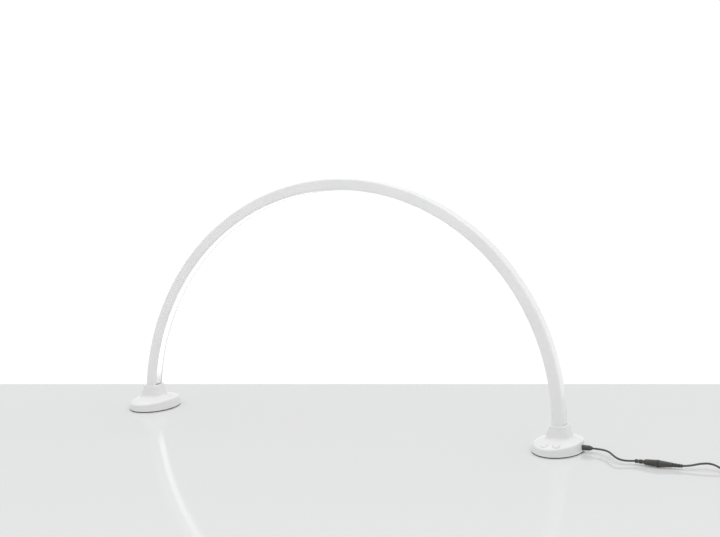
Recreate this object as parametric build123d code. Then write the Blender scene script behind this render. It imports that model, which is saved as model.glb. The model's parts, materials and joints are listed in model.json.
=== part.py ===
from build123d import *
import math
import os

# Table-top arch lamp: a half-round LED bow that stands in two oval feet.
# Millimetres, +Z up, X along the span, the user's side at -Y, and the origin on the
# table midway between the feet.

# ---- Driving dimensions ----------------------------------------------------------

# Bow: an extruded aluminium channel rolled to a half circle, open towards its centre
BOW_RADIUS = 380.0            # outer face
BOW_DEPTH = 19.0              # across the section, measured along the radius
BOW_WIDTH = 24.0              # along Y
BOW_CENTRE_Z = 27.0
BOW_LEAN = 4.0                # degrees that the bow leans back, towards +Y
BOW_WALL = 2.0
BOW_CORNER = 3.5
LEG_BOTTOM_Z = 14.0           # the legs go straight down below the half circle
WINDOW_WIDTH = 16.5           # open side of the channel, filled by the diffuser

DIFFUSER_RECESS = 0.8         # how far its face lies inside the channel's lips
DIFFUSER_FLANGE = 1.2         # thickness of the flange behind the lips
DIFFUSER_FLANGE_WIDTH = 19.4
DIFFUSER_END_ANGLE = 2.2      # degrees above the horizontal where it ends, in the neck

STRIP_WIDTH = 10.0
STRIP_THICKNESS = 1.0
STRIP_END_ANGLE = 5.0
CHIP_SIZE = (0.9, 3.5, 2.8)   # along the radius, Y, and along the bow
CHIP_COUNT = 64

END_PLUG_TOP_Z = 38.0

# Feet: a drafted oval skirt, a shallow dome and a four-sided neck
FOOT_X = 369.0
PAD_HALF = (38.3, 53.3)
PAD_THICKNESS = 1.6
LIP_HALF = (39.0, 54.0)
LIP_HEIGHT = 1.2
SKIRT_DRAFT = 2.4             # how far the skirt leans in over its whole height
SKIRT_TOP_Z = 20.0            # the dome cuts it off lower than this
SKIRT_STEP = 0.5              # the lip stands this far proud of the skirt
DOME_HALF = (49.0, 62.5, 20.9)
DOME_CENTRE_X = 4.0
DOME_CENTRE_Z = 0.8
RIM_ROUND = 1.5
SHELL_WALL = 2.2
NECK_BASE = (39.0, 46.0)
NECK_BASE_Z = 17.0
NECK_BASE_CORNER = 12.5
NECK_TOP = (26.0, 31.0)
NECK_TOP_Z = 40.0
NECK_TOP_CORNER = 5.0
NECK_EDGE_ROUND = 1.0
SOCKET_CLEARANCE = 0.3
SOCKET_FLOOR = 2.0
SOCKET_WALL = 2.2

PLATE_THICKNESS = 2.5
PLATE_CLEARANCE = 0.7
WEIGHT_HALF = (32.5, 47.5)
WEIGHT_TOP_Z = 11.4
WEIGHT_POCKET_Y = -9.5        # the foot with the controls has no weight in front of this

SCREW_HEAD = 0.55             # height of a flat head, in shank diameters
ARCH_SCREW_Y = (-5.5, 5.5)
ARCH_SCREW = (4.0, 26.0)      # shank diameter and top
PLATE_SCREW_SPOTS = ((0.0, 42.0), (-27.0, -21.0), (27.0, -21.0))
PLATE_SCREW = (3.0, 12.0)
PLATE_BOSS_DIAMETER = 7.0

# Controls in the right foot
BUTTON_SPOTS = {"power": (-9.0, -40.5), "dimmer": (9.0, -40.5)}
BUTTON_DIAMETER = 11.0
BUTTON_GAP = 0.35
BUTTON_PROUD = 0.8
BUTTON_FLANGE_DIAMETER = 12.5
BUTTON_FLANGE_THICKNESS = 0.6
STEM_DIAMETER = 4.0
BOARD_SIZE = (28.0, 18.0, 1.2)
BOARD_CENTRE_Y = -36.0
BOARD_BOTTOM_Z = 5.9
SWITCH_SIZE = (5.0, 5.0, 3.2)
PLUNGER_DIAMETER = 3.4
PLUNGER_PROUD = 1.2
BOARD_SCREW_SPOTS = ((-11.0, -29.5), (0.0, -42.5))
BOARD_SCREW = (2.2, 10.8)
BOARD_BOSS_DIAMETER = 5.0

LEAD_TERMINAL = (12.0, -31.0)  # where the captive lead meets the board
WIRE_TERMINAL_Y = -28.0
WIRE_DIAMETER = 1.2
WIRE_HALF_SPACING = 1.0

# Supply: captive lead, in-line connector, long lead in a tied coil, wall adapter
CORD_DIAMETER = 3.0
CORD_EXIT_Z = 7.5
BUSH_DIAMETER = 8.2
BUSH_SHAFT = 5.4              # where it goes through the wall
BUSH_FLANGE = 6.4             # what holds it from inside
BUSH_TAPER = 5.0
BUSH_SHOULDER = 3.0           # its full width starts this far inside the lip's edge
BUSH_BACK_X = 33.5            # its inner end, from the foot's centre
CONNECTOR_AXIS = (-35.0, 5.5)  # y and z
CONNECTOR_START_X = 496.0
SOCKET_RELIEF_LENGTH = 14.0
SOCKET_BODY = (19.5, 8.9, 10.7)  # length, diameter at the cord, diameter at the seam
SEAM_GAP = 0.4
PLUG_BODY = (22.6, 10.7, 7.2)
PLUG_RELIEF_LENGTH = 11.0
RELIEF_CORE = 4.6
RELIEF_RIB = 6.4
RELIEF_RIBS = 3
BARREL = (5.5, 2.5, 9.5)      # outside, bore and length of the plug's sleeve
SOCKET_BORE = (5.8, 10.5)
CENTRE_PIN = (2.0, 9.0)

COIL_CENTRE = (664.0, -35.0)
COIL_BOTTOM_Z = 0.8
COIL_TURN_RADII = (14.5, 17.5, 20.5)
COIL_LAYERS = 4
COIL_TIE = (8.0, 0.7)         # width and thickness of the strap

ADAPTER_CENTRE = (699.0, 29.0)
ADAPTER_SIZE = (60.0, 34.0, 26.0)
ADAPTER_WALL = 2.0
ADAPTER_CORNER = 5.0
ADAPTER_SPLIT_Z = 14.0
ADAPTER_NOSE = (33.0, 8.0)    # diameter and height
ADAPTER_NOSE_SHIFT = 8.0
ADAPTER_PIN = (4.0, 19.0, 19.0)  # diameter, exposed length and spacing
ADAPTER_CORD_Z = 9.0
ADAPTER_RELIEF = (7.0, 4.4, 11.0)

# Points that the free leads pass, chosen by hand
CAPTIVE_ROUTE = [
    (422.2, 0.0, 7.5),
    (433.0, 0.0, 7.5),
    (446.0, -8.0, 8.6),
    (455.0, -20.5, 9.6),
    (463.0, -32.0, 9.0),
    (471.0, -39.5, 7.3),
    (480.0, -40.8, 5.9),
    (488.5, -38.3, 5.5),
    (496.0, -35.0, 5.5),
]
SUPPLY_ROUTE = [
    (563.5, -35.0, 5.5),
    (574.0, -32.5, 6.0),
    (587.0, -24.0, 8.6),
    (602.0, -18.5, 9.4),
    (617.0, -25.5, 6.0),
    (631.0, -38.0, 3.0),
    (645.0, -52.0, 2.3),
    (664.0, -55.5, 2.3),
]
TAIL_ROUTE = [
    (664.0, -14.5, 11.3),
    (650.0, -14.0, 10.6),
    (636.0, -6.0, 6.0),
    (630.0, 7.0, 3.0),
    (634.5, 21.0, 5.0),
    (646.0, 29.0, 9.0),
    (658.0, 29.0, 9.0),
]


# ---- Helpers ---------------------------------------------------------------------

def upright_cylinder(x, y, z_low, z_high, diameter):
    """A vertical cylinder between two heights."""
    return Pos(x, y, (z_low + z_high) / 2) * Cylinder(diameter / 2, z_high - z_low)


def box_between(low, high):
    """An axis-aligned box between two corners."""
    size = [b - a for a, b in zip(low, high)]
    centre = [(a + b) / 2 for a, b in zip(low, high)]
    return Pos(*centre) * Box(*size)


def oval_slab(half, z_low, z_high):
    """An elliptical disc between two heights."""
    return extrude(Pos(0, 0, z_low) * Ellipse(*half), amount=z_high - z_low)


def screw_hole(x, y, z_low, diameter, z_high):
    """The room that a flat-head screw fills, head down."""
    profile = Polyline(
        (0, z_low), (diameter, z_low), (diameter / 2, z_low + diameter * SCREW_HEAD),
        (diameter / 2, z_high - diameter / 4), (diameter / 4, z_high), (0, z_high), close=True)
    return Pos(x, y, 0) * revolve(Plane.XZ * make_face(profile), axis=Axis.Z)


def countersunk_screw(x, y, z_low, diameter, z_high):
    """A flat-head screw, head down, with a hex recess in its head."""
    depth = diameter * SCREW_HEAD * 0.8
    recess = extrude(Pos(x, y, z_low) * RegularPolygon(diameter * 0.3, 6), amount=depth)
    return screw_hole(x, y, z_low, diameter, z_high) - recess


def along_x(stations, y, z):
    """A round body along X, from (x, radius) stations."""
    profile = Polyline((stations[0][0], 0), *stations, (stations[-1][0], 0), close=True)
    return Pos(0, y, z) * revolve(make_face(profile), axis=Axis.X)


def cut_all(shape, tools):
    """Cut every tool from a shape."""
    for tool in tools:
        shape -= tool
    return shape


def turn_radii(points):
    """The largest tangent arc at each corner of a route."""
    corners = [Vector(*point) for point in points]
    radii = []
    for before, here, after in zip(corners, corners[1:], corners[2:]):
        turn = math.radians((here - before).get_angle(after - here))
        shorter = min((here - before).length, (after - here).length)
        radii.append(0.45 * shorter / math.tan(turn / 2))
    return radii


def cord_tube(name, points, diameter):
    """A cord of straight runs joined by tangent arcs."""
    radii = turn_radii(points)
    path = FilletPolyline(*points, radius=radii)
    start = Plane(origin=points[0], z_dir=Vector(*points[1]) - Vector(*points[0]))
    tube = sweep(start * Circle(diameter / 2), path=path)
    ideal = math.pi * diameter ** 2 / 4 * path.length
    rounded = ", ".join(f"{radius:.1f}" for radius in radii)
    print(f"{name}: length {path.length:.1f}, radii {rounded}, volume ratio {tube.volume / ideal:.4f}")
    return tube


# ---- Bow -------------------------------------------------------------------------

BOW_AXIS = Axis((0, 0, BOW_CENTRE_Z), (0, -1, 0))
BOW_INNER_RADIUS = BOW_RADIUS - BOW_DEPTH
LEG_MIDDLE = BOW_RADIUS - BOW_DEPTH / 2


def lean(shape):
    """Tip a shape that was built upright to the bow's own lean."""
    return shape.rotate(Axis((0, 0, BOW_CENTRE_Z), (1, 0, 0)), -BOW_LEAN)


def section(r_low, r_high, width):
    """A rectangle of the bow's section, at the right-hand leg."""
    return Pos((r_low + r_high) / 2, 0, BOW_CENTRE_Z) * Rectangle(r_high - r_low, width)


def bow_sweep(profile, end_angle=0.0):
    """Carry a section round the half circle, short of each end by end_angle."""
    turned = revolve(profile, axis=BOW_AXIS, revolution_arc=180 - 2 * end_angle)
    return turned.rotate(BOW_AXIS, end_angle)


def with_legs(profile):
    """Carry a section round the half circle and down both legs."""
    leg_length = BOW_CENTRE_Z - LEG_BOTTOM_Z + BOW_WIDTH / 2
    leg = extrude(profile, amount=-leg_length)
    return bow_sweep(profile) + leg + mirror(leg, Plane.YZ)


def above_leg_bottom(shape):
    """Cut a leaning shape off level at the bottom of the legs."""
    return shape & box_between((-500, -100, LEG_BOTTOM_Z), (500, 100, 500))


def arch_channel():
    """The aluminium channel: rounded outside, open to the inside between two lips."""
    outline = Pos(LEG_MIDDLE, 0, BOW_CENTRE_Z) * RectangleRounded(BOW_DEPTH, BOW_WIDTH, BOW_CORNER)
    cavity = section(BOW_INNER_RADIUS + BOW_WALL, BOW_RADIUS - BOW_WALL, BOW_WIDTH - 2 * BOW_WALL)
    window = section(BOW_INNER_RADIUS - 1, BOW_INNER_RADIUS + BOW_WALL + 1, WINDOW_WIDTH)
    return above_leg_bottom(lean(with_legs(outline - cavity - window)))


def arch_diffuser():
    """The opal strip: a face in the window and a flange behind the lips."""
    lip_back = BOW_INNER_RADIUS + BOW_WALL
    face = section(BOW_INNER_RADIUS + DIFFUSER_RECESS, lip_back, WINDOW_WIDTH - 0.3)
    flange = section(lip_back, lip_back + DIFFUSER_FLANGE, DIFFUSER_FLANGE_WIDTH)
    return lean(bow_sweep(face + flange, DIFFUSER_END_ANGLE))


def led_strip_board():
    """The flexible board that is stuck to the channel's web."""
    web = BOW_RADIUS - BOW_WALL
    return lean(bow_sweep(section(web - STRIP_THICKNESS, web, STRIP_WIDTH), STRIP_END_ANGLE))


def led_chips():
    """The LEDs, evenly spaced along the strip."""
    middle = BOW_RADIUS - BOW_WALL - STRIP_THICKNESS - CHIP_SIZE[0] / 2 - 0.05
    chip = Pos(middle, 0, BOW_CENTRE_Z) * Box(*CHIP_SIZE)
    span = 180 - 2 * STRIP_END_ANGLE
    pitch = span / CHIP_COUNT
    angles = [STRIP_END_ANGLE + pitch * (index + 0.5) for index in range(CHIP_COUNT)]
    return Compound([lean(chip.rotate(BOW_AXIS, angle)) for angle in angles])


def arch_screws(side, make):
    """The two screws that hold a leg down in its foot, or their holes."""
    diameter, top = ARCH_SCREW
    return [make(side * LEG_MIDDLE, y, PAD_THICKNESS, diameter, top) for y in ARCH_SCREW_Y]


def arch_end_plug(side, holes):
    """The moulded plug in the end of a leg, with a groove for the wires on the right."""
    low = BOW_INNER_RADIUS + BOW_WALL + 0.1
    high = BOW_RADIUS - BOW_WALL - 0.3
    half = BOW_WIDTH / 2 - BOW_WALL - 0.1
    plug = box_between((low, -half, 0), (high, half, END_PLUG_TOP_Z))
    plug -= box_between((high - 3, -4, 0), (high + 1, 4, END_PLUG_TOP_Z + 1))
    plug = above_leg_bottom(lean(plug))
    if side < 0:
        plug = mirror(plug, Plane.YZ)
    return cut_all(plug, holes)


# ---- Feet ------------------------------------------------------------------------

def dome(offset):
    """The ellipsoid of the foot's top, moved out by offset along its three axes."""
    half = [size + offset for size in DOME_HALF]
    return Pos(DOME_CENTRE_X, 0, DOME_CENTRE_Z) * scale(Sphere(1), by=tuple(half))


def skirt(offset, z_low, z_high):
    """The drafted oval body under the dome, moved out by offset."""
    bottom = [size - SKIRT_STEP + offset for size in LIP_HALF]
    top = [size - SKIRT_DRAFT for size in bottom]
    return loft([Pos(0, 0, z_low) * Ellipse(*bottom), Pos(0, 0, z_high) * Ellipse(*top)])


def foot_body(leg_x):
    """The outside of a foot as one solid: lip, skirt, dome, and neck at leg_x."""
    body = skirt(0, PAD_THICKNESS, SKIRT_TOP_Z) & dome(0)
    rim = body.edges().group_by(Axis.Z)[-1]
    body = fillet(rim, RIM_ROUND)
    neck = loft([
        Pos(leg_x, 0, NECK_BASE_Z) * RectangleRounded(*NECK_BASE, NECK_BASE_CORNER),
        Pos(leg_x, 0, NECK_TOP_Z) * RectangleRounded(*NECK_TOP, NECK_TOP_CORNER),
    ])
    neck = fillet(neck.faces().sort_by(Axis.Z)[-1].edges(), NECK_EDGE_ROUND)
    body += neck
    lip = oval_slab(LIP_HALF, PAD_THICKNESS, PAD_THICKNESS + LIP_HEIGHT)
    return body + lip


def foot_cavity():
    """The hollow under a foot's dome, open below."""
    return skirt(-SHELL_WALL, PAD_THICKNESS, SKIRT_TOP_Z) & dome(-SHELL_WALL)


def leg_socket(leg_x):
    """The leaning hole that a leg stands in, in the foot's own place."""
    outline = RectangleRounded(
        BOW_DEPTH + 2 * SOCKET_CLEARANCE, BOW_WIDTH + 2 * SOCKET_CLEARANCE,
        BOW_CORNER + SOCKET_CLEARANCE)
    hole = extrude(Pos(leg_x, 0, -10) * outline, amount=NECK_TOP_Z + 20)
    upper = box_between((-50, -50, LEG_BOTTOM_Z), (50, 50, NECK_TOP_Z + 20))
    return lean(hole) & upper


def foot_shell(side, holes):
    """A foot's moulded shell: walls, the leg's socket and the screw bosses."""
    leg_x = side * (LEG_MIDDLE - FOOT_X)
    inside = foot_cavity()
    shell = foot_body(leg_x) - inside
    socket_size = (BOW_DEPTH + 2 * SOCKET_WALL + 1, BOW_WIDTH + 2 * SOCKET_WALL + 3)
    socket_bottom = LEG_BOTTOM_Z - SOCKET_FLOOR
    socket_outline = Pos(leg_x, 0, socket_bottom) * RectangleRounded(*socket_size, 5)
    shell += extrude(socket_outline, amount=NECK_BASE_Z - socket_bottom + 3)
    for x, y in PLATE_SCREW_SPOTS:
        boss = upright_cylinder(x, y, PAD_THICKNESS + PLATE_THICKNESS, SKIRT_TOP_Z, PLATE_BOSS_DIAMETER)
        shell += boss & inside
    if side > 0:
        for x, y in BOARD_SCREW_SPOTS:
            board_top = BOARD_BOTTOM_Z + BOARD_SIZE[2]
            shell += upright_cylinder(x, y, board_top, SKIRT_TOP_Z, BOARD_BOSS_DIAMETER) & inside
            shell -= upright_cylinder(x, y, board_top - 1, BOARD_SCREW[1], BOARD_SCREW[0])
        for x, y in BUTTON_SPOTS.values():
            hole = BUTTON_DIAMETER + 2 * BUTTON_GAP
            shell -= upright_cylinder(x, y, socket_bottom - 2, NECK_TOP_Z, hole)
        wall_hole = Cylinder(BUSH_SHAFT / 2, 20)
        shell -= Pos(LIP_HALF[0], 0, CORD_EXIT_Z) * Rot(0, 90, 0) * wall_hole
        shell -= box_between((5.5, -5, socket_bottom - 1), (9.9, 4, LEG_BOTTOM_Z + 1))
    shell -= leg_socket(leg_x)
    return cut_all(Pos(side * FOOT_X, 0, 0) * shell, holes)


def plate_screws(side, make):
    """The screws that hold the plate to the shell, or their holes."""
    diameter, top = PLATE_SCREW
    return [make(side * FOOT_X + x, y, PAD_THICKNESS, diameter, top) for x, y in PLATE_SCREW_SPOTS]


def foot_plate(side, holes):
    """The steel plate that closes a foot below."""
    inset = SHELL_WALL + SKIRT_STEP + PLATE_CLEARANCE
    half = [size - inset for size in LIP_HALF]
    plate = Pos(side * FOOT_X, 0, 0) * oval_slab(half, PAD_THICKNESS, PAD_THICKNESS + PLATE_THICKNESS)
    return cut_all(plate, holes)


def foot_weight(side, holes):
    """The cast ballast on the plate, cut away for the controls in the right foot."""
    bottom = PAD_THICKNESS + PLATE_THICKNESS
    weight = oval_slab(WEIGHT_HALF, bottom, WEIGHT_TOP_Z)
    for x, y in PLATE_SCREW_SPOTS:
        weight -= upright_cylinder(x, y, bottom - 1, WEIGHT_TOP_Z + 1, PLATE_BOSS_DIAMETER + 1)
    if side > 0:
        weight -= box_between((-60, -60, 0), (60, WEIGHT_POCKET_Y, 30))
        weight -= box_between((5.5, -60, 0), (60, 6, 30))
    return cut_all(Pos(side * FOOT_X, 0, 0) * weight, holes)


def foot_pad(side):
    """The rubber sole that a foot stands on, glued under the plate."""
    return Pos(side * FOOT_X, 0, 0) * oval_slab(PAD_HALF, 0, PAD_THICKNESS)


# ---- Controls --------------------------------------------------------------------

def in_right_foot(shape):
    """Move a shape from the foot's own place to the right foot."""
    return Pos(FOOT_X, 0, 0) * shape


def button_cap(name):
    """A push button that follows the dome, with a flange under it and a stem."""
    x, y = BUTTON_SPOTS[name]
    top = upright_cylinder(x, y, 0, NECK_TOP_Z, BUTTON_DIAMETER) & dome(BUTTON_PROUD)
    flange_top = -SHELL_WALL - BUTTON_GAP
    flange_bottom = dome(flange_top - BUTTON_FLANGE_THICKNESS)
    flange = upright_cylinder(x, y, 0, NECK_TOP_Z, BUTTON_FLANGE_DIAMETER) & dome(flange_top)
    stem = upright_cylinder(x, y, plunger_top(), NECK_TOP_Z / 2, STEM_DIAMETER) & dome(flange_top)
    return in_right_foot((top + flange) - flange_bottom + stem)


def switch_top():
    """The height of the top of a push switch's body."""
    return BOARD_BOTTOM_Z + BOARD_SIZE[2] + SWITCH_SIZE[2]


def plunger_top():
    """The height where a switch's plunger meets the button's stem."""
    return switch_top() + PLUNGER_PROUD


def push_switch(name):
    """The body of a push switch on the board, with the plunger's well in its top."""
    x, y = BUTTON_SPOTS[name]
    top = switch_top()
    body = Pos(x, y, top - SWITCH_SIZE[2] / 2) * Box(*SWITCH_SIZE)
    well = upright_cylinder(x, y, top - 2.2, top + 1, PLUNGER_DIAMETER + 0.5)
    return in_right_foot(body - well)


def plunger(name):
    """The plunger that the button pushes down into its switch."""
    x, y = BUTTON_SPOTS[name]
    return in_right_foot(upright_cylinder(x, y, switch_top() - 1.0, plunger_top(), PLUNGER_DIAMETER))


def board_screws():
    """The screws that hold the board up to its bosses."""
    diameter, top = BOARD_SCREW
    head = diameter * 0.5
    return [in_right_foot(
        upright_cylinder(x, y, BOARD_BOTTOM_Z - head, BOARD_BOTTOM_Z, diameter * 1.8)
        + upright_cylinder(x, y, BOARD_BOTTOM_Z, top, diameter)) for x, y in BOARD_SCREW_SPOTS]


def control_board(screws):
    """The board that carries the switches and the dimming parts."""
    centre_z = BOARD_BOTTOM_Z + BOARD_SIZE[2] / 2
    board = in_right_foot(Pos(0, BOARD_CENTRE_Y, centre_z) * Box(*BOARD_SIZE))
    return cut_all(board, screws)


def board_components():
    """The driver chip, an inductor, two capacitors and the two wire terminals."""
    top = BOARD_BOTTOM_Z + BOARD_SIZE[2]
    lead_x, lead_y = LEAD_TERMINAL
    parts = [
        Pos(0, -36.0, top + 0.7) * Box(4, 4, 1.4),
        Pos(-3.5, -32.0, top + 1.2) * Box(3.5, 3.5, 2.4),
        Pos(-3, -40.0, top + 0.5) * Box(2, 1.2, 1.0),
        Pos(3, -40.0, top + 0.5) * Box(2, 1.2, 1.0),
        Pos(lead_x, lead_y - 3, top + 1.5) * Box(3.6, 6.0, 3.0),
        Pos(0, WIRE_TERMINAL_Y - 1.0, top + 1.0) * Box(5.0, 2.0, 2.0),
    ]
    return Compound([in_right_foot(part) for part in parts])


def led_wire(y):
    """One of the two wires from the board up the right leg to the LED strip."""
    groove = BOW_RADIUS - BOW_WALL - 2.4
    points = [
        (FOOT_X - y, WIRE_TERMINAL_Y, 8.1),
        (FOOT_X - y, -21.0, 8.1),
        (FOOT_X + 7.6 - 0.9 * y, y - 11.5, 8.2),
        (FOOT_X + 7.6 - 0.9 * y, y - 2.5, 10.5),
        (groove, y - 0.6, 18.5),
        (groove + 0.1, y + 0.4, 31.0),
        (groove - 0.2, y + 1.4, 46.0),
        (groove - 0.9, y + 2.4, 60.0),
    ]
    return cord_tube("led_wire", points, WIRE_DIAMETER)


def inner_lead():
    """The captive lead's inner stretch, from its bush to the board's terminal."""
    end_x, end_y = LEAD_TERMINAL
    end_z = BOARD_BOTTOM_Z + BOARD_SIZE[2] + CORD_DIAMETER / 2
    points = [
        (FOOT_X + BUSH_BACK_X, 0.0, CORD_EXIT_Z),
        (FOOT_X + 26.5, 0.0, CORD_EXIT_Z),
        (FOOT_X + 19.0, -5.0, CORD_EXIT_Z + 0.4),
        (FOOT_X + end_x + 2.6, -13.0, CORD_EXIT_Z + 0.8),
        (FOOT_X + end_x, -22.0, end_z),
        (FOOT_X + end_x, end_y, end_z),
    ]
    return cord_tube("inner_lead", points, CORD_DIAMETER)


# ---- Supply ----------------------------------------------------------------------

def cord_bush(shell):
    """The strain relief in the right foot's wall, with a flange inside."""
    tip = CAPTIVE_ROUTE[0][0]
    wall = FOOT_X + LIP_HALF[0] - BUSH_SHOULDER
    back = FOOT_X + BUSH_BACK_X
    stations = [
        (back, BUSH_FLANGE / 2),
        (back + 1.1, BUSH_FLANGE / 2),
        (back + 1.1, BUSH_SHAFT / 2),
        (wall, BUSH_SHAFT / 2),
        (wall, BUSH_DIAMETER / 2),
        (tip - BUSH_TAPER, BUSH_DIAMETER / 2),
        (tip, CORD_DIAMETER / 2 + 0.8),
    ]
    bush = along_x(stations, 0, CORD_EXIT_Z) - shell
    return bush.solids().sort_by(SortBy.VOLUME)[-1]


def relief_stations(x_start, length, body_first):
    """Stations of a ribbed strain relief: a thin core with rings on it."""
    pitch = length / (RELIEF_RIBS + 0.5)
    stations = []
    for index in range(RELIEF_RIBS):
        rib_start = x_start + pitch * (index + (0.5 if body_first else 0.0))
        rib_end = rib_start + pitch * 0.6
        stations += [(rib_start, RELIEF_CORE / 2), (rib_start, RELIEF_RIB / 2),
                     (rib_end, RELIEF_RIB / 2), (rib_end, RELIEF_CORE / 2)]
    if body_first:
        stations.insert(0, (x_start, RELIEF_CORE / 2))
    else:
        stations.append((x_start + length, RELIEF_CORE / 2))
    return stations


def seam_x():
    """Where the in-line plug's face meets the socket's."""
    return CONNECTOR_START_X + SOCKET_RELIEF_LENGTH + SOCKET_BODY[0]


def inline_socket():
    """The socket on the captive lead: ribbed relief, growing body and a bore."""
    length, small, large = SOCKET_BODY
    body_start = CONNECTOR_START_X + SOCKET_RELIEF_LENGTH
    stations = relief_stations(CONNECTOR_START_X, SOCKET_RELIEF_LENGTH, body_first=False)
    stations += [(body_start, small / 2 - 0.6), (body_start + 0.8, small / 2), (seam_x(), large / 2)]
    bore_diameter, bore_depth = SOCKET_BORE
    bore = along_x([(seam_x() - bore_depth, bore_diameter / 2), (seam_x() + 1, bore_diameter / 2)],
                   *CONNECTOR_AXIS)
    return along_x(stations, *CONNECTOR_AXIS) - bore


def inline_socket_pin():
    """The centre contact at the bottom of the socket's bore."""
    diameter, length = CENTRE_PIN
    start = seam_x() - SOCKET_BORE[1]
    return along_x([(start, diameter / 2), (start + length - 0.6, diameter / 2),
                    (start + length, diameter / 4)], *CONNECTOR_AXIS)


def inline_plug():
    """The plug on the supply lead: collar, tapering body and ribbed relief."""
    length, large, small = PLUG_BODY
    start = seam_x() + SEAM_GAP
    end = start + length
    stations = [(start, large / 2 - 0.3), (start + 0.3, large / 2), (start + 1.8, large / 2),
                (start + 1.8, large / 2 - 0.35), (start + 4, large / 2 - 0.35),
                (end - 0.6, small / 2), (end, small / 2 - 0.5)]
    stations += relief_stations(end, PLUG_RELIEF_LENGTH, body_first=True)
    return along_x(stations, *CONNECTOR_AXIS)


def inline_plug_barrel():
    """The plug's metal sleeve, which goes into the socket."""
    outside, bore, length = BARREL
    end = seam_x() + SEAM_GAP
    sleeve = along_x([(end - length, outside / 2 - 0.3), (end - length + 0.3, outside / 2),
                      (end, outside / 2)], *CONNECTOR_AXIS)
    return sleeve - along_x([(end - length - 1, bore / 2), (end - 0.5, bore / 2)], *CONNECTOR_AXIS)


def coil_section(grow):
    """The outline of the coil's bundle of turns, grown by a distance."""
    radius = CORD_DIAMETER / 2
    inner = COIL_TURN_RADII[0] - radius - grow
    outer = COIL_TURN_RADII[-1] + radius + grow
    low = COIL_BOTTOM_Z - grow
    high = COIL_BOTTOM_Z + COIL_LAYERS * CORD_DIAMETER + grow
    width, height = outer - inner, high - low
    outline = RectangleRounded(width, height, radius + grow)
    return Plane.XZ * Pos((inner + outer) / 2, (low + high) / 2) * outline


def supply_coil():
    """The put-away length of the supply lead, as the outer shape of its turns."""
    return Pos(*COIL_CENTRE, 0) * revolve(coil_section(0), axis=Axis.Z)


def coil_room():
    """The upright cylinder that the coil fills, where no other cord may be."""
    radius = COIL_TURN_RADII[-1] + CORD_DIAMETER / 2 + 0.2
    return upright_cylinder(*COIL_CENTRE, -10, 40, 2 * radius)


def coil_tie():
    """The strap round the bundle of turns, on the side away from the lamp."""
    width, thickness = COIL_TIE
    band = extrude(coil_section(thickness), amount=width / 2, both=True)
    bundle = revolve(coil_section(0), axis=Axis.Z)
    inner = band.bounding_box().min.X
    straight = band & box_between((inner, -width, 0), (60, width, 60))
    return Pos(*COIL_CENTRE, 0) * (straight - bundle)


def adapter_outline(grow):
    """The plan of the wall adapter, grown by a distance."""
    length, width, _ = ADAPTER_SIZE
    return Pos(*ADAPTER_CENTRE) * RectangleRounded(
        length + 2 * grow, width + 2 * grow, ADAPTER_CORNER + grow)


def adapter_half(z_low, z_high, floor_low, floor_high):
    """One half of the adapter's case between two heights, hollow between the others."""
    shell = extrude(Pos(0, 0, z_low) * adapter_outline(0), amount=z_high - z_low)
    hollow = extrude(Pos(0, 0, floor_low) * adapter_outline(-ADAPTER_WALL), amount=floor_high - floor_low)
    return shell - hollow


def adapter_relief_hole(diameter):
    """The round way for the cord's relief through the case."""
    x = ADAPTER_CENTRE[0] - ADAPTER_SIZE[0] / 2
    return along_x([(x - 1, diameter / 2), (x + ADAPTER_WALL + 2, diameter / 2)],
                   ADAPTER_CENTRE[1], ADAPTER_CORD_Z)


def adapter_base():
    """The adapter's lower case half, with rounded bottom edges."""
    half = adapter_half(0, ADAPTER_SPLIT_Z, ADAPTER_WALL, ADAPTER_SPLIT_Z + 1)
    half = fillet(half.faces().sort_by(Axis.Z)[0].edges(), 1.5)
    return half - adapter_relief_hole(ADAPTER_RELIEF[0])


def nose_x():
    """The centre of the adapter's nose along X."""
    return ADAPTER_CENTRE[0] + ADAPTER_NOSE_SHIFT


def adapter_cover():
    """The adapter's upper case half, with the round nose that carries the pins."""
    top = ADAPTER_SIZE[2]
    half = adapter_half(ADAPTER_SPLIT_Z, top, ADAPTER_SPLIT_Z - 1, top - ADAPTER_WALL)
    half = fillet(half.faces().sort_by(Axis.Z)[-1].edges(), 1.5)
    diameter, height = ADAPTER_NOSE
    nose = upright_cylinder(nose_x(), ADAPTER_CENTRE[1], top - ADAPTER_WALL, top + height, diameter)
    nose = fillet(nose.faces().sort_by(Axis.Z)[-1].edges(), 1.2)
    cover = half + nose
    for pin in adapter_pins():
        cover -= pin
    return cover


def adapter_pins():
    """The two round pins, with rounded ends, which reach in through the nose."""
    diameter, exposed, spacing = ADAPTER_PIN
    base = ADAPTER_SIZE[2] - ADAPTER_WALL
    tip = ADAPTER_SIZE[2] + ADAPTER_NOSE[1] + exposed
    pins = []
    for side in (-0.5, 0.5):
        pin = upright_cylinder(nose_x(), ADAPTER_CENTRE[1] + side * spacing, base, tip, diameter)
        pins.append(fillet(pin.faces().sort_by(Axis.Z)[-1].edges(), diameter * 0.4))
    return pins


def adapter_relief():
    """The short taper where the lead goes into the adapter."""
    large, small, length = ADAPTER_RELIEF
    case = ADAPTER_CENTRE[0] - ADAPTER_SIZE[0] / 2
    return along_x([(case - length, small / 2), (case, large / 2 - 0.4), (case, large / 2),
                    (case + ADAPTER_WALL + 1, large / 2)], ADAPTER_CENTRE[1], ADAPTER_CORD_Z)


def adapter_board():
    """The adapter's own circuit board."""
    x, y = ADAPTER_CENTRE
    return Pos(x + 2, y, ADAPTER_WALL + 1.8) * Box(46, 27, 1.6)


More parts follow.
